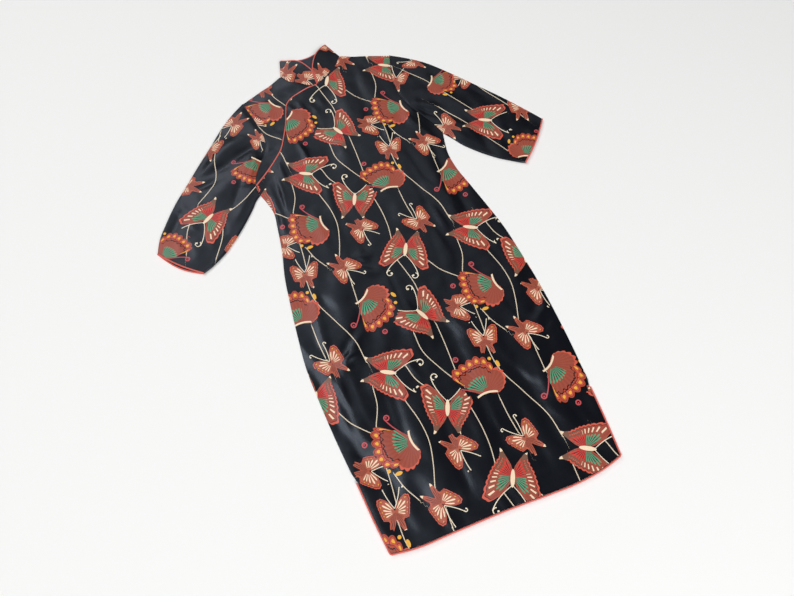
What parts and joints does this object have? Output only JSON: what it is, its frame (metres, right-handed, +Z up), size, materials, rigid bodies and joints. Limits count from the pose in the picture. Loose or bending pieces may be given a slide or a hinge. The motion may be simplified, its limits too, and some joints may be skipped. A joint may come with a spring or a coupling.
{
  "type": "mandarin collar dress",
  "caption": "Knee-length dress laid flat, face up: stand collar, slanted side placket, elbow-length set-in sleeves, side slits, butterfly print on dark satin and coral piping.",
  "frame": {"origin": "on the surface the dress lies on, under the middle of the dress's box", "axes": "+X towards the wearer's left side, +Y from the hem to the collar, +Z up from the surface, out of the front"},
  "size_m": [0.8914, 1.1392, 0.0157],
  "materials": {
    "satin": "satin weave, printed",
    "collar_facing": "plain satin",
    "piping": "bias satin piping"
  },
  "bodies": {
    "root": {"back": "satin", "front": "satin", "right_front_underlap": "satin", "right_sleeve": "satin", "left_sleeve": "satin", "collar": "satin", "collar_facing": "collar_facing", "collar_piping": "piping", "placket_piping": "piping", "right_cuff_piping": "piping", "left_cuff_piping": "piping", "front_hem_piping": "piping", "back_hem_piping": "piping"}
  },
  "joints": []
}
